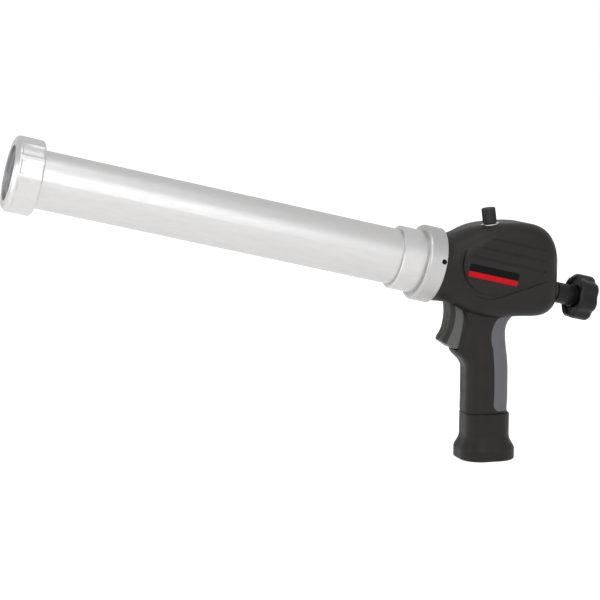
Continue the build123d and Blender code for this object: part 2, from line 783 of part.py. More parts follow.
with BuildPart() as star_knob:
    with BuildSketch(across(knob_front - knob_length)):
        Circle(knob_radius)
        with PolarLocations(knob_radius + 7.0, knob_lobes, start_angle=12):
            Circle(9.6, mode=Mode.SUBTRACT)
    extrude(amount=knob_length - 3.0)
    ring_bar(knob_front - 3.0, knob_front, knob_radius - 4.0)
    rear_edges = star_knob.faces().sort_by(BARREL_AXIS)[0].edges()
    chamfer(rear_edges, length=2.0)
    ring_bar(knob_front - 6.0, knob_front + 1, rod_tail_radius + seat, mode=Mode.SUBTRACT)
    ring_bar(knob_front - knob_length - 1, knob_front - knob_length + 3.0, 7.0, mode=Mode.SUBTRACT)
    ring_bar(knob_front - knob_length - 1, knob_front, 2.6, mode=Mode.SUBTRACT)
finish(star_knob, "star_knob")

with BuildPart() as knob_screw:
    ring_bar(knob_front - knob_length + 0.6, knob_front - knob_length + 3.0, 5.0)
    ring_bar(knob_front - knob_length + 3.0, knob_front - 4.2, 2.4)
    ring_bar(knob_front - knob_length, knob_front - knob_length + 1.8, 1.6, mode=Mode.SUBTRACT)
finish(knob_screw, "knob_screw")

# ---------------------------------------------------------------- dial group



def dial_bar(z_from, z_to, outer, inner=0.0, mode=Mode.ADD):
    """A bar or tube along the dial's axis, heights from its seat."""
    with BuildSketch(dial_plane.offset(z_from)) as profile:
        Circle(outer)
        if inner:
            Circle(inner, mode=Mode.SUBTRACT)
    extrude(profile.sketch, amount=z_to - z_from, mode=mode)


with BuildPart() as dial_washer:
    dial_bar(0.05, 1.05, dial_washer_radius, pot_shaft_radius + 1.2)
finish(dial_washer, "dial_washer")

dial_bottom = 1.4
dial_top = dial_bottom + dial_height
with BuildPart() as speed_dial:
    dial_bar(dial_bottom, dial_top, dial_radius)
    chamfer(speed_dial.edges().filter_by(GeomType.CIRCLE).sort_by(Axis.Z)[-1:], length=0.6)
    with BuildSketch(dial_plane.offset(dial_bottom)):
        with PolarLocations(dial_radius, dial_ribs):
            Rectangle(0.7, 0.8)
    extrude(amount=dial_height - 1.5, mode=Mode.SUBTRACT)
    dial_bar(0, dial_top - 3.0, pot_shaft_radius + slip, mode=Mode.SUBTRACT)
finish(speed_dial, "speed_dial")

pot_top = -6.0
with BuildPart() as dial_shaft:
    dial_bar(pot_top - 3.0, dial_top - 3.2, pot_shaft_radius)
finish(dial_shaft, "dial_shaft")

with BuildPart() as speed_potentiometer:
    dial_bar(pot_top - pot_depth, pot_top, pot_radius)
    dial_bar(pot_top - 3.2, pot_top + 1, pot_shaft_radius + slip, mode=Mode.SUBTRACT)
finish(speed_potentiometer, "speed_potentiometer")

# ------------------------------------------------------------------ trigger

# The joint between the trigger's soft face and its lever, then the face's front.
trigger_edge = [
    (-39.6, 157.0),
    (-37.4, 146.0),
    (-38.2, 136.5),
    (-40.6, 128.0),
    (-43.9, 121.0),
    (-46.6, 115.6),
]
trigger_front = [
    (-49.6, 117.2),
    (-49.9, 119.6),
    (-47.2, 124.2),
    (-44.2, 131.0),
    (-42.6, 138.5),
    (-42.2, 147.0),
    (-43.2, 157.0),
]
with BuildPart() as trigger_face:
    with BuildSketch(Plane.XZ):
        with BuildLine():
            Spline(*trigger_edge)
            Line(trigger_edge[-1], trigger_front[0])
            Spline(*trigger_front)
            Line(trigger_front[-1], trigger_edge[0])
        make_face()
    extrude(amount=trigger_half_width, both=True)
    front = trigger_face.edges().filter_by(GeomType.BSPLINE).filter_by(lambda e: abs(e.center().Y) > 1)
    fillet(front.sort_by(Axis.X)[:2], radius=2.6)
finish(trigger_face, "trigger_face")

lever_back = -27.5
lever_shift = 0.05
with BuildPart() as trigger_lever:
    with BuildSketch(Plane.XZ):
        with BuildLine():
            Spline(*[(x + lever_shift, z) for x, z in trigger_edge])
            last = (trigger_edge[-1][0] + lever_shift, trigger_edge[-1][1])
            top = (trigger_edge[0][0] + lever_shift, trigger_edge[0][1])
            Polyline(last, (-40.5, 110.9), (lever_back - 2.5, pocket_floor + 1.2), (lever_back, 112.5),
                     (lever_back, 160.0), (-38.6, 163.0), top)
        make_face()
        with Locations(trigger_pivot):
            Circle(5.0)
    extrude(amount=trigger_half_width - 0.3, both=True)
    y_bars([trigger_pivot], 20, -20, trigger_pin_radius + slip, mode=Mode.SUBTRACT)
    with BuildSketch(Plane.XZ):
        with Locations(trigger_pivot):
            Circle(5.6)
            with Locations((4.0, 3.0)):
                Rectangle(12, 14)
    extrude(amount=4.2, both=True, mode=Mode.SUBTRACT)
finish(trigger_lever, "trigger_lever")

with BuildPart() as trigger_pin:
    y_bars([trigger_pivot], 15.5, -15.5, trigger_pin_radius)
finish(trigger_pin, "trigger_pin")

spring_wire = 0.4
spring_mean = trigger_pin_radius + 1.3
with BuildPart() as trigger_spring:
    with BuildLine() as coil:
        Helix(pitch=1.3, height=6.5, radius=spring_mean, center=(trigger_pivot[0], 3.25, trigger_pivot[1]),
              direction=(0, -1, 0))
    with BuildSketch(Plane(origin=coil.line @ 0, z_dir=coil.line % 0)):
        Circle(spring_wire)
    sweep(is_frenet=True)
finish(trigger_spring, "trigger_spring")

switch_front = -18.0
switch_z = 130.0
plunger_radius = 2.5
with BuildPart() as trigger_switch:
    with BuildSketch(Plane.YZ.offset(switch_front)):
        with Locations((0, switch_z)):
            RectangleRounded(16.0, 26.0, 1.5)
    extrude(amount=22.0)
    with BuildSketch(Plane.YZ.offset(switch_front - 1)):
        with Locations((0, switch_z)):
            Circle(plunger_radius + slip)
    extrude(amount=14.0, mode=Mode.SUBTRACT)
finish(trigger_switch, "trigger_switch")

with BuildPart() as switch_plunger:
    with BuildSketch(Plane.YZ.offset(lever_back + 0.3)):
        with Locations((0, switch_z)):
            Circle(plunger_radius)
    extrude(amount=13.5)
    fillet(switch_plunger.edges().filter_by(GeomType.CIRCLE).sort_by(Axis.X)[:1], radius=1.4)
finish(switch_plunger, "switch_plunger")

with BuildPart() as circuit_board:
    with BuildSketch(Plane.XY.offset(150.0)):
        with Locations((0.0, 0)):
            RectangleRounded(26.0, 26.0, 1.0)
    extrude(amount=1.6)
    with BuildSketch(Plane.XY.offset(151.6)):
        with Locations((-4, 6), (5, -5), (5, 6)):
            Rectangle(6, 5)
    extrude(amount=2.4)
finish(circuit_board, "circuit_board")

# ------------------------------------------------------------------ battery

stem_x = (-21.2, 16.2)
stem_corner = 10.4
foot_height = 10.0
flare_top = 24.0
battery_rear = 20.5
battery_front = -24.1
battery_corner = 15.0
# The flare of the case: height, how far it stands out from the straight part.
flare_rows = [
    (foot_height, 5.4),
    (13.5, 4.2),
    (17.0, 2.1),
    (20.5, 0.6),
    (flare_top, 0.0),
]


def battery_slice(z, outset):
    """Cross-section of the battery's case, grown all round by an amount."""
    with BuildSketch(Plane.XY.offset(z)) as section:
        with Locations(((battery_front + battery_rear) / 2, 0)):
            length = battery_rear - battery_front + 2 * outset
            width = 2 * (battery_half_width - 0.5 + outset)
            RectangleRounded(length, width, battery_corner + outset)
    return section.sketch


def battery_form():
    """The battery's outer form below the grip: a foot, a flare and a straight part."""
    with BuildPart() as form:
        extrude(battery_slice(0, flare_rows[0][1]), amount=foot_height)
        chamfer(form.edges().group_by(Axis.Z)[0], length=1.0)
        loft([battery_slice(z, outset) for z, outset in flare_rows])
        extrude(battery_slice(flare_top, 0.0), amount=grip_bottom - gap - flare_top)
        chamfer(form.edges().group_by(Axis.Z)[-1], length=0.8)
    return form.part


battery_outer = battery_form()
stem_middle = (stem_x[0] + stem_x[1]) / 2
stem_length = stem_x[1] - stem_x[0]
latch_z = 33.0
latch_width = 14.2
latch_height = 8.2
cell_spread = cell_radius * 1.004
cell_row = cell_spread * cos(radians(30))
cell_rows = [
    (stem_middle - cell_spread, -cell_row),
    (stem_middle + cell_spread, -cell_row),
    (stem_middle, cell_row),
]
cell_bottom = base_thick + 1.0

with BuildPart() as battery_case:
    add(battery_outer)
    with BuildSketch(Plane.XY):
        Rectangle(80, 80)
    extrude(amount=base_thick, mode=Mode.SUBTRACT)
    extrude(battery_slice(0, -battery_wall), amount=grip_bottom - gap - battery_wall, mode=Mode.SUBTRACT)
    with BuildSketch(Plane.XY.offset(grip_bottom - 3.0)):
        with Locations((stem_middle, 0)):
            RectangleRounded(stem_length, 2 * stem_half_width, stem_corner)
    extrude(amount=stem_top - grip_bottom + 3.0)
    with BuildSketch(Plane.XY.offset(grip_bottom - 6.0)):
        with Locations((stem_middle, 0)):
            RectangleRounded(stem_length - 1.2, 2 * stem_half_width - 1.2, stem_corner - 0.6)
    extrude(amount=stem_top - grip_bottom + 4.5, mode=Mode.SUBTRACT)
    with BuildSketch(Plane.YZ.offset(10.0)):
        with Locations((0, latch_z)):
            RectangleRounded(latch_width + 2 * gap, latch_height + 2 * gap, 1.2 + gap)
    extrude(amount=20.0, mode=Mode.SUBTRACT)
finish(battery_case, "battery_case")

with BuildPart() as battery_base:
    add(battery_outer)
    with BuildSketch(Plane.XY.offset(base_thick - 0.05)):
        Rectangle(80, 80)
    extrude(amount=100.0, mode=Mode.SUBTRACT)
    with BuildSketch(Plane.XY.offset(2.4)):
        with Locations((-0.4, 0)):
            RectangleRounded(44.0, 38.0, 13.0)
    extrude(amount=base_thick, mode=Mode.SUBTRACT)
finish(battery_base, "battery_base")

with BuildPart() as battery_cells:
    with BuildSketch(Plane.XY.offset(cell_bottom)):
        with Locations(*cell_rows):
            Circle(cell_radius)
    extrude(amount=cell_length)
    with BuildSketch(Plane.XY.offset(cell_bottom + cell_length)):
        with Locations(*cell_rows):
            Circle(3.0)
    extrude(amount=1.0)
finish(battery_cells, "battery_cells")

with BuildPart() as battery_terminals:
    with BuildSketch(Plane.XY.offset(stem_top)):
        with Locations((stem_middle, -6), (stem_middle, 0), (stem_middle, 6)):
            Rectangle(9.0, 0.8)
    extrude(amount=7.0)
finish(battery_terminals, "battery_terminals")

with BuildPart() as grip_terminals:
    with BuildSketch(Plane.XY.offset(stem_top + 2.0)):
        with Locations((stem_middle, 0)):
            RectangleRounded(16.0, 20.0, 1.5)
    extrude(amount=10.0)
    with BuildSketch(Plane.XY.offset(stem_top + 1.0)):
        with Locations((stem_middle, -6), (stem_middle, 0), (stem_middle, 6)):
            Rectangle(10.0, 1.6)
    extrude(amount=8.0, mode=Mode.SUBTRACT)
finish(grip_terminals, "grip_terminals")

with BuildPart() as battery_latch:
    with BuildSketch(Plane.YZ.offset(battery_rear - 2.8)):
        with Locations((0, latch_z)):
            RectangleRounded(latch_width, latch_height, 1.2)
    extrude(amount=2.7)
finish(battery_latch, "battery_latch")
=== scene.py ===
"""Looks of a cordless caulking gun for foil packs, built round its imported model."""

import json
from math import cos, pi, radians, sin, tau

import bpy
from mathutils import Matrix, Vector


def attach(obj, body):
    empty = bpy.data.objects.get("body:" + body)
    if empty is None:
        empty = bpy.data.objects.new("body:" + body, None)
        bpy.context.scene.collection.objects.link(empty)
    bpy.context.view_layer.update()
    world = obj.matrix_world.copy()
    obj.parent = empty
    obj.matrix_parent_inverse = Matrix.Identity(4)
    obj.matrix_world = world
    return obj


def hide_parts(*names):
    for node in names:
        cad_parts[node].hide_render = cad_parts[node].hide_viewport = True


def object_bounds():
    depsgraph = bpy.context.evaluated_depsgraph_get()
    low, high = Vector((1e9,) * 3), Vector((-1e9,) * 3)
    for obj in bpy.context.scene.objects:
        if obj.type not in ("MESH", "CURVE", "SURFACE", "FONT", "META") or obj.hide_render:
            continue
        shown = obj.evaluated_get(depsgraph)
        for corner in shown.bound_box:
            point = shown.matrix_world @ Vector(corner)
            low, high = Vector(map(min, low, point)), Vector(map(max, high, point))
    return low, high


bl_info = {
    "name": "Cordless caulking gun",
    "version": (1, 0, 0),
    "blender": (4, 5, 0),
    "location": "3D View > Sidebar > Caulking gun",
    "description": "Finishes and detailed pieces of a cordless caulking gun on its packed frame",
    "category": "Object",
}

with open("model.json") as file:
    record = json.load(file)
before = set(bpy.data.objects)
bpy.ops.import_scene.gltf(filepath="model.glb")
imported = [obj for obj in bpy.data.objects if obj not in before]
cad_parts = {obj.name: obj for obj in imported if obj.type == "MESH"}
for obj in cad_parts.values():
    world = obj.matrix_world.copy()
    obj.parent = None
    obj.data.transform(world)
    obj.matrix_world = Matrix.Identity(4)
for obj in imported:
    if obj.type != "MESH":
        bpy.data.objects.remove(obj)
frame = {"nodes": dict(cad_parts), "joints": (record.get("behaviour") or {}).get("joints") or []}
NODES = frame["nodes"]
JOINTS = {joint["name"]: joint for joint in frame["joints"]}
PACKED_BOX = [[float(value) for value in corner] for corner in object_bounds()]

# The barrel's own frame: x to the gun's left, y up and square to the barrel, z towards the muzzle.
FORWARD = Vector(JOINTS["ring_slide"]["axis"]).normalized()
LEFT = Vector((0, -1, 0))
UP = FORWARD.cross(LEFT)
BARREL = Matrix.Translation(JOINTS["ring_turn"]["pos_m"]) @ Matrix((LEFT, UP, FORWARD)).transposed().to_4x4()
RAKE = FORWARD.angle(Vector((-1, 0, 0)))


# ------------------------------------------------------------------ settings


class GunFinish(bpy.types.PropertyGroup):
    """Colours of the gun's outer finishes."""

    housing: bpy.props.FloatVectorProperty(
        name="Housing", description="Plastic of the drive housing and the battery", subtype="COLOR",
        default=(0.0105, 0.0082, 0.0074), min=0, max=1)
    insert: bpy.props.FloatVectorProperty(
        name="Grip insert", description="Soft insert on the back of the grip", subtype="COLOR",
        default=(0.135, 0.137, 0.153), min=0, max=1)
    trigger: bpy.props.FloatVectorProperty(
        name="Trigger", description="Soft face of the trigger", subtype="COLOR",
        default=(0.021, 0.021, 0.017), min=0, max=1)
    lever: bpy.props.FloatVectorProperty(
        name="Trigger lever", description="Grey flank of the trigger", subtype="COLOR",
        default=(0.115, 0.115, 0.112), min=0, max=1)
    knob: bpy.props.FloatVectorProperty(
        name="Knobs", description="Plastic of the star knob and the dial", subtype="COLOR",
        default=(0.0085, 0.0072, 0.0070), min=0, max=1)
    aluminium: bpy.props.FloatVectorProperty(
        name="Aluminium", description="Barrel, sleeve, collar and front ring", subtype="COLOR",
        default=(0.612, 0.604, 0.600), min=0, max=1)
    accent: bpy.props.FloatVectorProperty(
        name="Label band", description="Band along the foot of the bare label", subtype="COLOR",
        default=(0.68, 0.006, 0.014), min=0, max=1)


class GunSizes(bpy.types.PropertyGroup):
    """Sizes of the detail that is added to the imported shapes."""

    dial_ribs: bpy.props.IntProperty(
        name="Dial ribs", description="Grip ribs round the speed dial", default=26, min=6, max=60)
    dial_rib_height: bpy.props.FloatProperty(
        name="Dial rib height", description="How far a rib stands off the dial", default=0.0004,
        min=0, max=0.001, unit="LENGTH", precision=5)
    ring_flutes: bpy.props.IntProperty(
        name="Ring flutes", description="Finger flutes round the front ring", default=12, min=4, max=24)
    ring_flute_depth: bpy.props.FloatProperty(
        name="Ring flute depth", description="Depth of a flute at its middle", default=0.0009,
        min=0, max=0.002, unit="LENGTH", precision=5)
    knob_lobes: bpy.props.IntProperty(
        name="Knob lobes", description="Lobes of the star knob", default=7, min=3, max=12)
    knob_scallop: bpy.props.FloatProperty(
        name="Knob scallop", description="Depth between two lobes", default=0.0027,
        min=0, max=0.006, unit="LENGTH", precision=5)
    lamp_power: bpy.props.FloatProperty(
        name="Lamp power", description="Power of the main soft lamp", default=15.0,
        min=0, max=500, unit="POWER")


# ----------------------------------------------------------------- materials


def add_node(tree, kind, inputs=None, **settings):
    """A node with its settings and its unlinked inputs."""
    node = tree.nodes.new(kind)
    for name, value in settings.items():
        setattr(node, name, value)
    for name, value in (inputs or {}).items():
        node.inputs[name].default_value = value
    return node


def shade(colour, factor):
    """A colour made lighter or darker, with full alpha."""
    return (*(min(1.0, channel * factor) for channel in colour), 1.0)


def grown_material(name, colour, rough, metallic=0.0, spread=0.25, patch=0.02, grain=0.0007, depth=0.00003,
                   streak=1.0, scuff=0.0, tint=None, **shader_values):
    """Procedural finish with slow colour drift, uneven gloss, scuffs and a fine grain."""
    material = bpy.data.materials.new(name)
    material.use_nodes = True
    tree = material.node_tree
    link = tree.links.new
    shader = tree.nodes["Principled BSDF"]
    shader.inputs["Metallic"].default_value = metallic
    for socket, value in shader_values.items():
        shader.inputs[socket.replace("_", " ")].default_value = value
    place = add_node(tree, "ShaderNodeTexCoord")
    turned = add_node(tree, "ShaderNodeMapping", {"Rotation": (0, -RAKE, 0)})
    link(place.outputs["Object"], turned.inputs["Vector"])
    along = add_node(tree, "ShaderNodeMapping", {"Scale": (1 / streak, 1, 1)})
    link(turned.outputs["Vector"], along.inputs["Vector"])
    drift = add_node(tree, "ShaderNodeTexNoise", {"Scale": 1 / patch, "Detail": 4.0, "Roughness": 0.6})
    link(along.outputs["Vector"], drift.inputs["Vector"])
    mix = add_node(tree, "ShaderNodeMix", data_type="RGBA")
    mix.inputs["A"].default_value = shade(colour, 1 - spread)
    mix.inputs["B"].default_value = shade(tint or colour, 1 + spread)
    link(drift.outputs["Fac"], mix.inputs["Factor"])
    surface = mix.outputs["Result"]
    if scuff:
        marks = add_node(tree, "ShaderNodeTexNoise", {"Scale": 420.0, "Detail": 6.0, "Roughness": 0.75})
        link(along.outputs["Vector"], marks.inputs["Vector"])
        rare = add_node(tree, "ShaderNodeMapRange", {
            "From Min": 0.60, "From Max": 0.74, "To Min": 0.0, "To Max": scuff})
        link(marks.outputs["Fac"], rare.inputs["Value"])
        worn = add_node(tree, "ShaderNodeMix", data_type="RGBA")
        worn.inputs["B"].default_value = shade([channel + 0.05 for channel in colour], 1.5)
        link(rare.outputs["Result"], worn.inputs["Factor"])
        link(surface, worn.inputs["A"])
        surface = worn.outputs["Result"]
    link(surface, shader.inputs["Base Color"])
    gloss = add_node(tree, "ShaderNodeTexNoise", {"Scale": 2.2 / patch, "Detail": 5.0})
    link(along.outputs["Vector"], gloss.inputs["Vector"])
    uneven = add_node(tree, "ShaderNodeMapRange", {
        "From Min": 0.3, "From Max": 0.7, "To Min": rough[0], "To Max": rough[1]})
    link(gloss.outputs["Fac"], uneven.inputs["Value"])
    link(uneven.outputs["Result"], shader.inputs["Roughness"])
    fine = add_node(tree, "ShaderNodeTexNoise", {"Scale": 1 / grain, "Detail": 3.0, "Roughness": 0.55})
    link(along.outputs["Vector"], fine.inputs["Vector"])
    bump = add_node(tree, "ShaderNodeBump", {"Strength": 1.0, "Distance": depth})
    link(fine.outputs["Fac"], bump.inputs["Height"])
    link(bump.outputs["Normal"], shader.inputs["Normal"])
    return material


def label_material(name, low, high, black, red):
    """Bare gloss label with a coloured band along its lower edge."""
    material = grown_material(name, black, (0.38, 0.48), spread=0.15, grain=0.004, depth=0.000004,
                              Specular_IOR_Level=0.10)
    tree = material.node_tree
    link = tree.links.new
    shader = tree.nodes["Principled BSDF"]
    plain = shader.inputs["Base Color"].links[0].from_socket
    place = add_node(tree, "ShaderNodeTexCoord")
    turned = add_node(tree, "ShaderNodeMapping", {"Rotation": (0, -RAKE, 0)})
    link(place.outputs["Object"], turned.inputs["Vector"])
    split = add_node(tree, "ShaderNodeSeparateXYZ")
    link(turned.outputs["Vector"], split.inputs["Vector"])
    edge = low[1] + 0.42 * (high[1] - low[1])
    below = add_node(tree, "ShaderNodeMapRange", {"From Min": edge + 0.0002, "From Max": edge - 0.0002})
    link(split.outputs["Z"], below.inputs["Value"])
    band = add_node(tree, "ShaderNodeMix", data_type="RGBA")
    band.inputs["B"].default_value = (*red, 1)
    link(below.outputs["Result"], band.inputs["Factor"])
    link(plain, band.inputs["A"])
    link(band.outputs["Result"], shader.inputs["Base Color"])
    return material


def dress(node, material):
    """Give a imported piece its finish."""
    slots = NODES[node].data.materials
    slots.clear()
    slots.append(material)


def inner_finish(name):
    """Finishes of the pieces inside the housing and of the small hardware."""
    made = bpy.data.materials.get(name)
    if made:
        return made
    recipes = {
        "turned_steel": ((0.44, 0.44, 0.45), (0.24, 0.42), {"metallic": 1.0, "streak": 0.05,
                                                            "grain": 0.0005}),
        "black_oxide": ((0.010, 0.010, 0.011), (0.46, 0.60), {"patch": 0.003, "spread": 0.2,
                                                               "Specular_IOR_Level": 0.3}),
        "zinc_plate": ((0.52, 0.52, 0.54), (0.28, 0.46), {"metallic": 1.0, "spread": 0.12, "patch": 0.004}),
        "gear_steel": ((0.38, 0.38, 0.39), (0.26, 0.44), {"metallic": 1.0, "spread": 0.18, "patch": 0.003}),
        "cast_metal": ((0.46, 0.46, 0.48), (0.42, 0.60), {"metallic": 1.0, "grain": 0.0012,
                                                          "depth": 0.00006}),
        "turned_brass": ((0.66, 0.47, 0.20), (0.26, 0.40), {"metallic": 1.0, "spread": 0.12,
                                                            "patch": 0.004}),
        "black_moulding": ((0.020, 0.020, 0.022), (0.42, 0.58), {"scuff": 0.10}),
        "board_green": ((0.015, 0.090, 0.040), (0.30, 0.44), {"patch": 0.003, "spread": 0.3}),
        "cell_sleeve": ((0.06, 0.17, 0.26), (0.28, 0.40), {"patch": 0.006, "spread": 0.15,
                                                           "Coat_Weight": 0.3}),
        "piston_blue": ((0.035, 0.090, 0.240), (0.36, 0.50), {"patch": 0.008, "spread": 0.15}),
        "seal_rubber": ((0.016, 0.016, 0.016), (0.50, 0.68), {"grain": 0.0004}),
        "pale_nylon": ((0.62, 0.61, 0.56), (0.36, 0.50), {"patch": 0.004, "spread": 0.06}),
    }
    colour, rough, more = recipes[name]
    return grown_material(name, colour, rough, **more)


# -------------------------------------------------------------------- shapes


def new_piece(name, vertices, faces, place=None):
    """A mesh piece in the row frame."""
    mesh = bpy.data.meshes.new(name)
    mesh.from_pydata(vertices, [], faces)
    if place is not None:
        mesh.transform(place)
    mesh.validate()
    piece = bpy.data.objects.new(name, mesh)
    bpy.context.scene.collection.objects.link(piece)
    return piece


def turned_shape(profile, steps, ripple=None):
    """Vertices and faces of a closed profile of (z, r) swept round z; ripple(angle, index, r) changes r."""
    vertices = []
    faces = []
    count = len(profile)
    for step in range(steps):
        angle = tau * step / steps
        for index, (z, r) in enumerate(profile):
            radius = ripple(angle, index, r) if ripple else r
            vertices.append((radius * cos(angle), radius * sin(angle), z))
    for step in range(steps):
        for index in range(count):
            a = step * count + index
            b = step * count + (index + 1) % count
            c = (step + 1) % steps * count + (index + 1) % count
            d = (step + 1) % steps * count + index
            faces.append((a, b, c, d))
    return vertices, faces


def smooth_edges(piece, angle):
    """Smooth shading except across edges sharper than the angle."""
    piece.data.shade_smooth()
    piece.data.set_sharp_from_angle(angle=radians(angle))


def span(node, place):
    """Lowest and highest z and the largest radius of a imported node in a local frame."""
    back = place.inverted()
    points = [back @ vertex.co for vertex in NODES[node].data.vertices]
    heights = [point.z for point in points]
    return min(heights), max(heights), max(point.xy.length for point in points)


def solids_of(node):
    """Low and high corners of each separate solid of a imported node."""
    mesh = NODES[node].data
    keys = [tuple(round(value, 6) for value in vertex.co) for vertex in mesh.vertices]
    parent = {key: key for key in keys}

    def root(key):
        while parent[key] != key:
            parent[key] = parent[parent[key]]
            key = parent[key]
        return key

    for edge in mesh.edges:
        first, second = (root(keys[index]) for index in edge.vertices)
        parent[first] = second
    groups = {}
    for key in parent:
        groups.setdefault(root(key), []).append(key)
    boxes = [([min(axis) for axis in zip(*keys)], [max(axis) for axis in zip(*keys)])
             for keys in groups.values()]
    return sorted(boxes)


def finish_piece(piece, material, body, slot, *replaced):
    """Finish and body of a new piece; the slot argument is not used."""
    piece.data.materials.clear()
    piece.data.materials.append(material)
    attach(piece, body)
    if replaced:
        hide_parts(*replaced)
    return piece


# ------------------------------------------------------------ geometry nodes


def new_tree(name, sockets):
    """Geometry tree with a geometry input, named value inputs and a geometry output."""
    tree = bpy.data.node_groups.new(name, "GeometryNodeTree")
    tree.interface.new_socket("Geometry", in_out="INPUT", socket_type="NodeSocketGeometry")
    for label, kind, value in sockets:
        socket = tree.interface.new_socket(label, in_out="INPUT", socket_type=kind)
        if value is not None:
            socket.default_value = value
    tree.interface.new_socket("Geometry", in_out="OUTPUT", socket_type="NodeSocketGeometry")
    return tree, tree.nodes.new("NodeGroupInput"), tree.nodes.new("NodeGroupOutput")


def close_tree(tree, leave, geometry, material):
    """End a tree in Realize Instances and Set Material."""
    real = tree.nodes.new("GeometryNodeRealizeInstances")
    dressed = add_node(tree, "GeometryNodeSetMaterial", {"Material": material})
    tree.links.new(geometry, real.inputs["Geometry"])
    tree.links.new(real.outputs["Geometry"], dressed.inputs["Geometry"])
    tree.links.new(dressed.outputs["Geometry"], leave.inputs["Geometry"])


def grow(piece, tree, values):
    """Run a tree on a piece with the given inputs and keep the result as a plain mesh."""
    modifier = piece.modifiers.new(tree.name, "NODES")
    modifier.node_group = tree
    for item in tree.interface.items_tree:
        if item.in_out == "INPUT" and item.name in values:
            modifier[item.identifier] = values[item.name]
    bpy.context.view_layer.update()
    graph = bpy.context.evaluated_depsgraph_get()
    mesh = bpy.data.meshes.new_from_object(piece.evaluated_get(graph), depsgraph=graph)
    piece.modifiers.remove(modifier)
    piece.data = mesh
    mesh.name = piece.name
    if not mesh.polygons:
        raise RuntimeError(piece.name + " came out empty")
    return piece


def ribs_tree(material):
    """Upright ribs set round a turned body."""
    tree, enter, leave = new_tree("ribs_round_a_body", [
        ("Ribs", "NodeSocketInt", 24), ("Radius", "NodeSocketFloat", 0.006),
        ("Rib width", "NodeSocketFloat", 0.001), ("Rib height", "NodeSocketFloat", 0.0005),
        ("Low", "NodeSocketFloat", 0.0), ("High", "NodeSocketFloat", 0.01)])
    link = tree.links.new
    circle = tree.nodes.new("GeometryNodeMeshCircle")
    link(enter.outputs["Ribs"], circle.inputs["Vertices"])
    link(enter.outputs["Radius"], circle.inputs["Radius"])
    middle = add_node(tree, "ShaderNodeMath", operation="ADD")
    link(enter.outputs["Low"], middle.inputs[0])
    link(enter.outputs["High"], middle.inputs[1])
    half = add_node(tree, "ShaderNodeMath", {1: 0.5}, operation="MULTIPLY")
    link(middle.outputs["Value"], half.inputs[0])
    lift = tree.nodes.new("ShaderNodeCombineXYZ")
    link(half.outputs["Value"], lift.inputs["Z"])
    raised = tree.nodes.new("GeometryNodeSetPosition")
    link(circle.outputs["Mesh"], raised.inputs["Geometry"])
    link(lift.outputs["Vector"], raised.inputs["Offset"])
    length = add_node(tree, "ShaderNodeMath", operation="SUBTRACT")
    link(enter.outputs["High"], length.inputs[0])
    link(enter.outputs["Low"], length.inputs[1])
    deep = add_node(tree, "ShaderNodeMath", {1: 2.0}, operation="MULTIPLY")
    link(enter.outputs["Rib height"], deep.inputs[0])
    size = tree.nodes.new("ShaderNodeCombineXYZ")
    link(deep.outputs["Value"], size.inputs["X"])
    link(enter.outputs["Rib width"], size.inputs["Y"])
    link(length.outputs["Value"], size.inputs["Z"])
    rib = tree.nodes.new("GeometryNodeMeshCube")
    link(size.outputs["Vector"], rib.inputs["Size"])
    where = tree.nodes.new("GeometryNodeInputPosition")
    flat = add_node(tree, "ShaderNodeVectorMath", operation="MULTIPLY")
    flat.inputs[1].default_value = (1, 1, 0)
    link(where.outputs["Position"], flat.inputs[0])
    aim = add_node(tree, "FunctionNodeAlignRotationToVector", axis="X", pivot_axis="Z")
    link(flat.outputs["Vector"], aim.inputs["Vector"])
    placed = tree.nodes.new("GeometryNodeInstanceOnPoints")
    link(raised.outputs["Geometry"], placed.inputs["Points"])
    link(rib.outputs["Mesh"], placed.inputs["Instance"])
    link(aim.outputs["Rotation"], placed.inputs["Rotation"])
    join = tree.nodes.new("GeometryNodeJoinGeometry")
    link(enter.outputs["Geometry"], join.inputs["Geometry"])
    link(placed.outputs["Instances"], join.inputs["Geometry"])
    close_tree(tree, leave, join.outputs["Geometry"], material)
    return tree


def copies_tree(material):
    """One shape copied to every point, turned by the point's own rotation."""
    tree, enter, leave = new_tree("copies_on_points", [("Shape", "NodeSocketObject", None)])
    link = tree.links.new
    shape = tree.nodes.new("GeometryNodeObjectInfo")
    link(enter.outputs["Shape"], shape.inputs["Object"])
    turn = add_node(tree, "GeometryNodeInputNamedAttribute", {"Name": "aim"}, data_type="FLOAT_VECTOR")
    aim = add_node(tree, "FunctionNodeAlignRotationToVector", axis="Z")
    link(turn.outputs["Attribute"], aim.inputs["Vector"])
    placed = tree.nodes.new("GeometryNodeInstanceOnPoints")
    link(enter.outputs["Geometry"], placed.inputs["Points"])
    link(shape.outputs["Geometry"], placed.inputs["Instance"])
    link(aim.outputs["Rotation"], placed.inputs["Rotation"])
    close_tree(tree, leave, placed.outputs["Instances"], material)
    return tree


def copies(name, shape, points, material):
    """Copies of a shape object at (position, direction of its z axis) as one mesh piece."""
    mesh = bpy.data.meshes.new(name)
    mesh.from_pydata([point for point, direction in points], [], [])
    aims = mesh.attributes.new("aim", "FLOAT_VECTOR", "POINT")
    for index, (point, direction) in enumerate(points):
        aims.data[index].vector = direction
    piece = bpy.data.objects.new(name, mesh)
    bpy.context.scene.collection.objects.link(piece)
    grow(piece, copies_tree(material), {"Shape": shape})
    bpy.data.objects.remove(shape)
    smooth_edges(piece, 35)
    return piece


# ----------------------------------------------------------------- operators


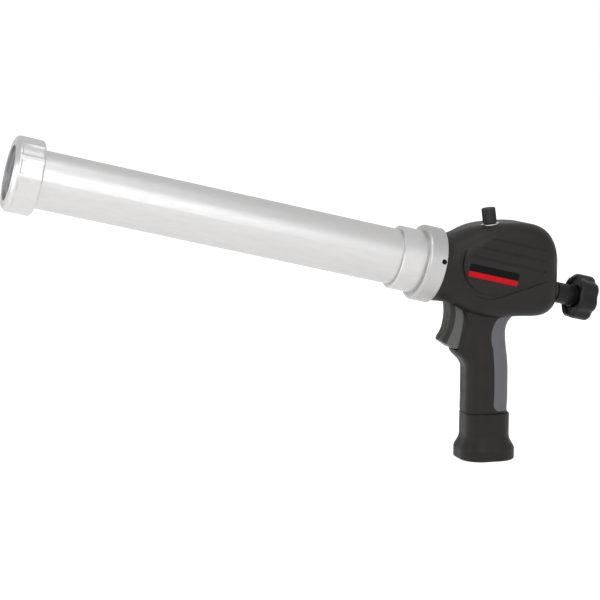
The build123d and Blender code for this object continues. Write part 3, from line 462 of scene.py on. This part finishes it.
class GUN_OT_housing(bpy.types.Operator):
    """Finish the housing halves, the grip insert, the label and the housing screws"""

    bl_idname = "gun.housing"
    bl_label = "Housing"

    def execute(self, context):
        look = context.scene.gun_finish
        plastic = grown_material("housing_plastic", look.housing, (0.40, 0.54), spread=0.16, patch=0.035,
                                 grain=0.0006, depth=0.00005, scuff=0.10, Specular_IOR_Level=0.30)
        dress("housing_left", plastic)
        dress("housing_right", plastic)
        soft = grown_material("insert_rubber", look.insert, (0.50, 0.64), spread=0.08, patch=0.02,
                              grain=0.0005, depth=0.00005, scuff=0.08)
        dress("grip_insert", soft)
        turned = Matrix.Rotation(-RAKE, 3, "Y")
        flat = [turned @ vertex.co for vertex in NODES["label_plate"].data.vertices]
        low = (min(point.x for point in flat), min(point.z for point in flat))
        high = (max(point.x for point in flat), max(point.z for point in flat))
        dress("label_plate", label_material("label_gloss", low, high, (0.0035, 0.0030, 0.0030), look.accent))
        self.screws()
        return {"FINISHED"}

    def screws(self):
        boxes = solids_of("housing_screws")
        low, high = boxes[0]
        head = (high[0] - low[0]) / 2
        length = high[1] - low[1]
        core = head * 0.48
        profile = [(0.0, head * 0.12), (length * 0.05, core * 0.7), (length * 0.09, core),
                   (length - 0.0022, core), (length - 0.0022, head), (length - 0.0008, head),
                   (length - 0.0003, head * 0.93),
                   (length, head * 0.78), (length, head * 0.50), (length - 0.0012, head * 0.46),
                   (length - 0.0012, head * 0.10)]
        socket = (8, 9)

        def star(angle, index, radius):
            return radius * (1 + 0.16 * cos(6 * angle)) if index in socket else radius

        vertices, faces = turned_shape(profile, 48, star)
        shape = new_piece("screw_shape", vertices, faces)
        points = [(((low[0] + high[0]) / 2, low[1], (low[2] + high[2]) / 2), (0, 1, 0))
                  for low, high in boxes]
        steel = inner_finish("zinc_plate")
        piece = copies("housing_screw_set", shape, points, steel)
        finish_piece(piece, steel, "housing", "screw_steel", "housing_screws")


class GUN_OT_barrel(bpy.types.Operator):
    """Finish the barrel tube, the sleeve and the collar with its set screws"""

    bl_idname = "gun.barrel"
    bl_label = "Barrel"

    def execute(self, context):
        look = context.scene.gun_finish
        satin = grown_material("satin_aluminium", look.aluminium, (0.34, 0.46), metallic=1.0, spread=0.06,
                               patch=0.004, grain=0.0009, depth=0.00010, streak=6.0)
        dress("barrel_tube", satin)
        dress("barrel_sleeve", satin)
        clamp_shade = 0.82
        greyer = [channel * clamp_shade for channel in look.aluminium]
        clamped = grown_material("clamp_aluminium", greyer, (0.34, 0.46), metallic=1.0, spread=0.05,
                                 patch=0.006, grain=0.0006, depth=0.00004, streak=0.3)
        dress("barrel_collar", clamped)
        self.set_screws()
        return {"FINISHED"}

    def set_screws(self):
        boxes = solids_of("collar_set_screws")
        back = BARREL.inverted()
        points = []
        for low, high in boxes:
            middle = back @ ((Vector(low) + Vector(high)) / 2)
            out = Vector((middle.x, middle.y, 0)).normalized()
            points.append((middle, out))
        radius = 0.0025
        half = 0.0022
        profile = [(-half, radius * 0.2), (-half, radius * 0.8), (-half + 0.0005, radius),
                   (half - 0.0004, radius), (half, radius * 0.85), (half, radius * 0.56),
                   (half - 0.002, radius * 0.52),
                   (half - 0.002, radius * 0.1)]

        def hexagon(angle, index, value):
            return value * (1 + 0.07 * cos(6 * angle)) if index in (5, 6) else value

        vertices, faces = turned_shape(profile, 36, hexagon)
        steel = inner_finish("black_oxide")
        piece = copies("collar_screw_set", new_piece("set_screw_shape", vertices, faces), points, steel)
        piece.data.transform(BARREL)
        finish_piece(piece, steel, "housing", "screw_steel", "collar_set_screws")


class GUN_OT_front_ring(bpy.types.Operator):
    """Fluted front ring with its rolled lip"""

    bl_idname = "gun.front_ring"
    bl_label = "Front ring"

    def execute(self, context):
        look = context.scene.gun_finish
        sizes = context.scene.gun_sizes
        rear, front, outer = span("front_ring", BARREL)
        bore = span("ring_washer", BARREL)[2] + 0.0002
        lip = front - span("ring_washer", BARREL)[1] - 0.0001
        mouth = bore - 0.0015
        length = front - rear
        profile = [(0.0, bore), (0.0, outer - 0.0016), (0.0004, outer - 0.0007), (0.0012, outer),
                   (0.0030, outer), (length * 0.5, outer), (length - 0.0060, outer),
                   (length - 0.0048, outer), (length - 0.0034, outer),
                   (length - 0.0026, outer - 0.0005), (length - 0.0008, outer - 0.0022),
                   (length - 0.0004, outer - 0.0030), (length - 0.0007, outer - 0.0036),
                   (length - 0.0007, mouth + 0.0030), (length - 0.0001, mouth + 0.0024),
                   (length, mouth + 0.0010), (length - 0.0004, mouth), (length - lip, mouth),
                   (length - lip, bore)]
        full = range(1, 7)

        def flute(angle, index, radius):
            if index not in full:
                return radius
            phase = (angle * sizes.ring_flutes / tau) % 1.0
            side = abs(phase - 0.5) / 0.41
            dip = max(0.0, 1 - side ** 4)
            return radius - sizes.ring_flute_depth * dip * (1.0 if index > 2 else 0.6)

        vertices, faces = turned_shape([(rear + z, r) for z, r in profile], sizes.ring_flutes * 26, flute)
        piece = new_piece("front_ring_fluted", vertices, faces, BARREL)
        smooth_edges(piece, 28)
        metal = grown_material("turned_aluminium", look.aluminium, (0.28, 0.40), metallic=1.0, spread=0.05,
                               patch=0.006, grain=0.0006, depth=0.00004, streak=0.3)
        finish_piece(piece, metal, "ring", "ring_metal", "front_ring")
        dress("ring_washer", inner_finish("pale_nylon"))
        return {"FINISHED"}


class GUN_OT_star_knob(bpy.types.Operator):
    """Star knob with rounded lobes and a dished front, its hub and its screw"""

    bl_idname = "gun.star_knob"
    bl_label = "Star knob"

    def execute(self, context):
        look = context.scene.gun_finish
        sizes = context.scene.gun_sizes
        rear, front, outer = span("star_knob", BARREL)
        hub = span("rod_hub", BARREL)[2]
        length = front - rear
        profile = [(0.0030, 0.0026), (0.0030, 0.0068), (0.0002, 0.0072), (0.0, 0.0085),
                   (0.0, outer - 0.0060), (0.0003, outer - 0.0040), (0.0014, outer - 0.0017),
                   (0.0032, outer - 0.0004), (0.0052, outer), (length * 0.55, outer),
                   (length - 0.0050, outer), (length - 0.0028, outer - 0.0003),
                   (length - 0.0013, outer - 0.0012), (length - 0.0008, outer - 0.0024),
                   (length - 0.0016, outer - 0.0034), (length - 0.0050, outer - 0.0044),
                   (length - 0.0060, hub + 0.0024), (length - 0.0054, hub + 0.0012),
                   (length - 0.0004, hub + 0.0008), (length, hub + 0.0002), (length, 0.0072),
                   (length - 0.0060, 0.0072), (length - 0.0060, 0.0026)]
        weights = {4: 0.75, 5: 0.85, 6: 0.95, 7: 1.0, 8: 1.0, 9: 0.95,
                   10: 0.62, 11: 0.5, 12: 0.4, 13: 0.35, 14: 0.3, 15: 0.2}

        def lobe(angle, index, radius):
            wave = 0.5 - 0.5 * cos(sizes.knob_lobes * (angle - radians(12)) + pi)
            return radius - sizes.knob_scallop * weights.get(index, 0.0) * wave ** 1.6

        vertices, faces = turned_shape([(rear + z, r) for z, r in profile], sizes.knob_lobes * 26, lobe)
        piece = new_piece("star_knob_grip", vertices, faces, BARREL)
        smooth_edges(piece, 40)
        plastic = grown_material("knob_plastic", look.knob, (0.34, 0.48), spread=0.15, patch=0.02,
                                 grain=0.0006, depth=0.00004, scuff=0.12, Specular_IOR_Level=0.26)
        finish_piece(piece, plastic, "rod", "knob_plastic", "star_knob")
        dress("rod_hub", plastic)
        dress("knob_screw", inner_finish("zinc_plate"))
        return {"FINISHED"}


class GUN_OT_dial(bpy.types.Operator):
    """Ribbed speed dial, its washer, shaft and potentiometer"""

    bl_idname = "gun.dial"
    bl_label = "Speed dial"

    def execute(self, context):
        sizes = context.scene.gun_sizes
        joint = JOINTS["dial_turn"]
        up = Vector(joint["axis"]).normalized()
        across = Vector((0, 1, 0))
        turn = Matrix((across.cross(up), across, up)).transposed().to_4x4()
        place = Matrix.Translation(joint["pos_m"]) @ turn
        low, high, outer = span("speed_dial", place)
        shaft = span("dial_shaft", place)
        bore = shaft[2] + 0.00005
        body = outer - sizes.dial_rib_height
        length = high - low
        profile = [(0.0, bore), (0.0, body - 0.0004), (0.0004, body), (length - 0.0022, body),
                   (length - 0.0020, outer), (length - 0.0009, outer), (length - 0.0003, outer - 0.0003),
                   (length, outer - 0.0010), (length - 0.0001, 0.0020), (length - 0.0001, 0.0002),
                   (shaft[1] - low + 0.0001, 0.0002), (shaft[1] - low + 0.0001, bore)]
        vertices, faces = turned_shape([(low + z, r) for z, r in profile], 96)
        piece = new_piece("speed_dial_ribbed", vertices, faces)
        plastic = bpy.data.materials["knob_plastic"]
        grow(piece, ribs_tree(plastic), {
            "Ribs": sizes.dial_ribs, "Radius": body, "Rib width": 0.0008,
            "Rib height": sizes.dial_rib_height, "Low": low + 0.0006, "High": high - 0.0021})
        piece.data.transform(place)
        smooth_edges(piece, 30)
        finish_piece(piece, plastic, "dial", "knob_plastic", "speed_dial")
        dress("dial_washer", inner_finish("turned_steel"))
        dress("dial_shaft", inner_finish("turned_steel"))
        dress("speed_potentiometer", inner_finish("black_moulding"))
        return {"FINISHED"}


class GUN_OT_trigger(bpy.types.Operator):
    """Finish the trigger, its pin and spring, and the switch behind it"""

    bl_idname = "gun.trigger"
    bl_label = "Trigger"

    def execute(self, context):
        look = context.scene.gun_finish
        rubber = grown_material("trigger_rubber", look.trigger, (0.46, 0.60), spread=0.12, patch=0.01,
                                grain=0.0005, depth=0.00005, scuff=0.12, Specular_IOR_Level=0.36)
        dress("trigger_face", rubber)
        grey = grown_material("trigger_plastic", look.lever, (0.40, 0.52), spread=0.08, patch=0.01,
                              grain=0.0006, depth=0.00004, scuff=0.08)
        dress("trigger_lever", grey)
        dress("trigger_pin", inner_finish("turned_steel"))
        dress("trigger_spring", inner_finish("turned_steel"))
        dress("trigger_switch", inner_finish("black_moulding"))
        dress("switch_plunger", inner_finish("pale_nylon"))
        dress("circuit_board", inner_finish("board_green"))
        return {"FINISHED"}


class GUN_OT_battery(bpy.types.Operator):
    """Finish the battery and set its crimped cells"""

    bl_idname = "gun.battery"
    bl_label = "Battery"

    def execute(self, context):
        look = context.scene.gun_finish
        shell = grown_material("battery_plastic", look.housing, (0.42, 0.56), spread=0.16, patch=0.03,
                               grain=0.0006, depth=0.00005, scuff=0.14, Specular_IOR_Level=0.30)
        dress("battery_case", shell)
        dress("battery_base", shell)
        dress("battery_latch", inner_finish("black_moulding"))
        dress("battery_terminals", inner_finish("turned_brass"))
        dress("grip_terminals", inner_finish("black_moulding"))
        boxes = solids_of("battery_cells")
        low, high = boxes[0]
        radius = (high[0] - low[0]) / 2
        length = high[2] - low[2]
        top = length - 0.001
        profile = [(0.0, 0.0002), (0.0, radius - 0.001), (0.0005, radius), (top - 0.0052, radius),
                   (top - 0.0044, radius - 0.0005), (top - 0.0036, radius - 0.0005), (top - 0.0028, radius),
                   (top - 0.0006, radius), (top, radius - 0.0008), (top, 0.0032),
                   (length, 0.0029), (length, 0.0002)]
        vertices, faces = turned_shape(profile, 48)
        points = [(((low[0] + high[0]) / 2, (low[1] + high[1]) / 2, low[2]), (0, 0, 1))
                  for low, high in boxes]
        sleeve = inner_finish("cell_sleeve")
        piece = copies("battery_cell_set", new_piece("cell_shape", vertices, faces), points, sleeve)
        finish_piece(piece, sleeve, "battery", "cell_metal", "battery_cells")
        return {"FINISHED"}


class GUN_OT_drive(bpy.types.Operator):
    """Finish the motor, the gears, the rack rod and the piston"""

    bl_idname = "gun.drive"
    bl_label = "Drive"

    def execute(self, context):
        finishes = {
            "turned_steel": ("motor", "planetary_gearbox"),
            "gear_steel": ("output_pinion", "layshaft", "crown_gear", "drive_gear", "rack_pinion"),
            "cast_metal": ("gear_frame",),
            "turned_brass": ("front_rod_bush", "shaft_bushes"),
            "zinc_plate": ("rack_rod",),
            "black_moulding": ("rear_guide_bush",),
            "piston_blue": ("piston",),
            "seal_rubber": ("piston_seal",),
        }
        for finish, members in finishes.items():
            for node in members:
                dress(node, inner_finish(finish))
        return {"FINISHED"}


class GUN_OT_stage(bpy.types.Operator):
    """Pale floor, soft studio light and the camera"""

    bl_idname = "gun.stage"
    bl_label = "Stage"

    def execute(self, context):
        self.floor()
        self.world(context.scene)
        power = context.scene.gun_sizes.lamp_power
        self.lamp("key", (-0.15, -2.1, 1.12), (-0.25, 0, 0.22), 1.6, power)
        self.lamp("top", (-0.3, -0.5, 1.7), (-0.1, 0, 0.2), 0.9, power * 0.3)
        self.lamp("front", (-1.35, -0.2, 0.45), (-0.3, 0, 0.22), 0.6, power * 0.18)
        data = bpy.data.cameras.new("camera")
        data.lens = 106.9
        data.sensor_width = 36.0
        data.clip_end = 50.0
        camera = bpy.data.objects.new("camera", data)
        eye = Vector((-0.6637, -1.5987, 0.3819))
        aim = Vector((-0.1903, 0.0, 0.16235))
        camera.location = eye
        camera.rotation_euler = (aim - eye).to_track_quat("-Z", "Y").to_euler()
        context.scene.collection.objects.link(camera)
        context.scene.camera = camera
        context.scene.view_settings.view_transform = "Standard"
        return {"FINISHED"}

    def floor(self):
        half = 8.0
        corners = [(-half, -half, 0), (half, -half, 0), (half, half, 0), (-half, half, 0)]
        place = Matrix.Translation((0, 0, PACKED_BOX[0][2] - 0.0003))
        floor = new_piece("floor", corners, [(0, 1, 2, 3)], place)
        material = bpy.data.materials.new("floor_white")
        material.use_nodes = True
        tree = material.node_tree
        link = tree.links.new
        shader = tree.nodes["Principled BSDF"]
        shader.inputs["Roughness"].default_value = 0.9
        shader.inputs["Specular IOR Level"].default_value = 0.1
        shader.inputs["Base Color"].default_value = (0.86, 0.845, 0.83, 1)
        glow = tree.nodes.new("ShaderNodeEmission")
        path = tree.nodes.new("ShaderNodeLightPath")
        mirrored = add_node(tree, "ShaderNodeMath", {1: 0.62}, operation="MULTIPLY")
        link(path.outputs["Is Glossy Ray"], mirrored.inputs[0])
        level = add_node(tree, "ShaderNodeMath", {1: 0.75}, operation="MULTIPLY_ADD")
        link(path.outputs["Is Camera Ray"], level.inputs[0])
        link(mirrored.outputs["Value"], level.inputs[2])
        link(level.outputs["Value"], glow.inputs["Strength"])
        both = tree.nodes.new("ShaderNodeAddShader")
        link(shader.outputs["BSDF"], both.inputs[0])
        link(glow.outputs["Emission"], both.inputs[1])
        link(both.outputs["Shader"], tree.nodes["Material Output"].inputs["Surface"])
        floor.data.materials.append(material)

    def world(self, scene):
        world = bpy.data.worlds.new("studio")
        scene.world = world
        world.use_nodes = True
        tree = world.node_tree
        link = tree.links.new
        sky = tree.nodes["Background"]
        sky.inputs["Color"].default_value = (1, 1, 1, 1)
        path = tree.nodes.new("ShaderNodeLightPath")
        seen = add_node(tree, "ShaderNodeMath", operation="MAXIMUM")
        link(path.outputs["Is Camera Ray"], seen.inputs[0])
        link(path.outputs["Is Transmission Ray"], seen.inputs[1])
        mirrored = add_node(tree, "ShaderNodeMath", {1: 0.80}, operation="MULTIPLY")
        link(path.outputs["Is Glossy Ray"], mirrored.inputs[0])
        brighter = add_node(tree, "ShaderNodeMath", operation="MAXIMUM")
        link(seen.outputs["Value"], brighter.inputs[0])
        link(mirrored.outputs["Value"], brighter.inputs[1])
        shown = add_node(tree, "ShaderNodeMath", {1: 0.45}, operation="MAXIMUM")
        link(brighter.outputs["Value"], shown.inputs[0])
        link(shown.outputs["Value"], sky.inputs["Strength"])

    def lamp(self, name, place, aim, size, power):
        data = bpy.data.lights.new(name, "AREA")
        data.size = size
        data.energy = power
        data.color = (0.97, 0.985, 1.0)
        lamp = bpy.data.objects.new(name, data)
        lamp.location = place
        lamp.rotation_euler = (Vector(aim) - Vector(place)).to_track_quat("-Z", "Y").to_euler()
        bpy.context.scene.collection.objects.link(lamp)


# --------------------------------------------------------------------- panel

OPERATORS = (GUN_OT_housing, GUN_OT_barrel, GUN_OT_front_ring, GUN_OT_star_knob, GUN_OT_dial, GUN_OT_trigger,
             GUN_OT_battery, GUN_OT_drive, GUN_OT_stage)


class GUN_PT_sidebar(bpy.types.Panel):
    """Sizes, colours and pieces of the caulking gun"""

    bl_idname = "GUN_PT_sidebar"
    bl_label = "Caulking gun"
    bl_space_type = "VIEW_3D"
    bl_region_type = "UI"
    bl_category = "Caulking gun"

    def draw(self, context):
        for group in (context.scene.gun_finish, context.scene.gun_sizes):
            box = self.layout.box()
            for name in group.__annotations__:
                box.prop(group, name)
        for operator in OPERATORS:
            self.layout.operator(operator.bl_idname)


CLASSES = (GunFinish, GunSizes, *OPERATORS, GUN_PT_sidebar)


def register():
    """Add the classes and the scene's settings."""
    for each in CLASSES:
        bpy.utils.register_class(each)
    bpy.types.Scene.gun_finish = bpy.props.PointerProperty(type=GunFinish)
    bpy.types.Scene.gun_sizes = bpy.props.PointerProperty(type=GunSizes)


def unregister():
    """Take the settings and the classes away again."""
    del bpy.types.Scene.gun_sizes
    del bpy.types.Scene.gun_finish
    for each in reversed(CLASSES):
        bpy.utils.unregister_class(each)


def main():
    """Make every piece in order."""
    register()
    for operator in OPERATORS:
        group, name = operator.bl_idname.split(".")
        getattr(getattr(bpy.ops, group), name)()


if __name__ == "__main__":
    main()
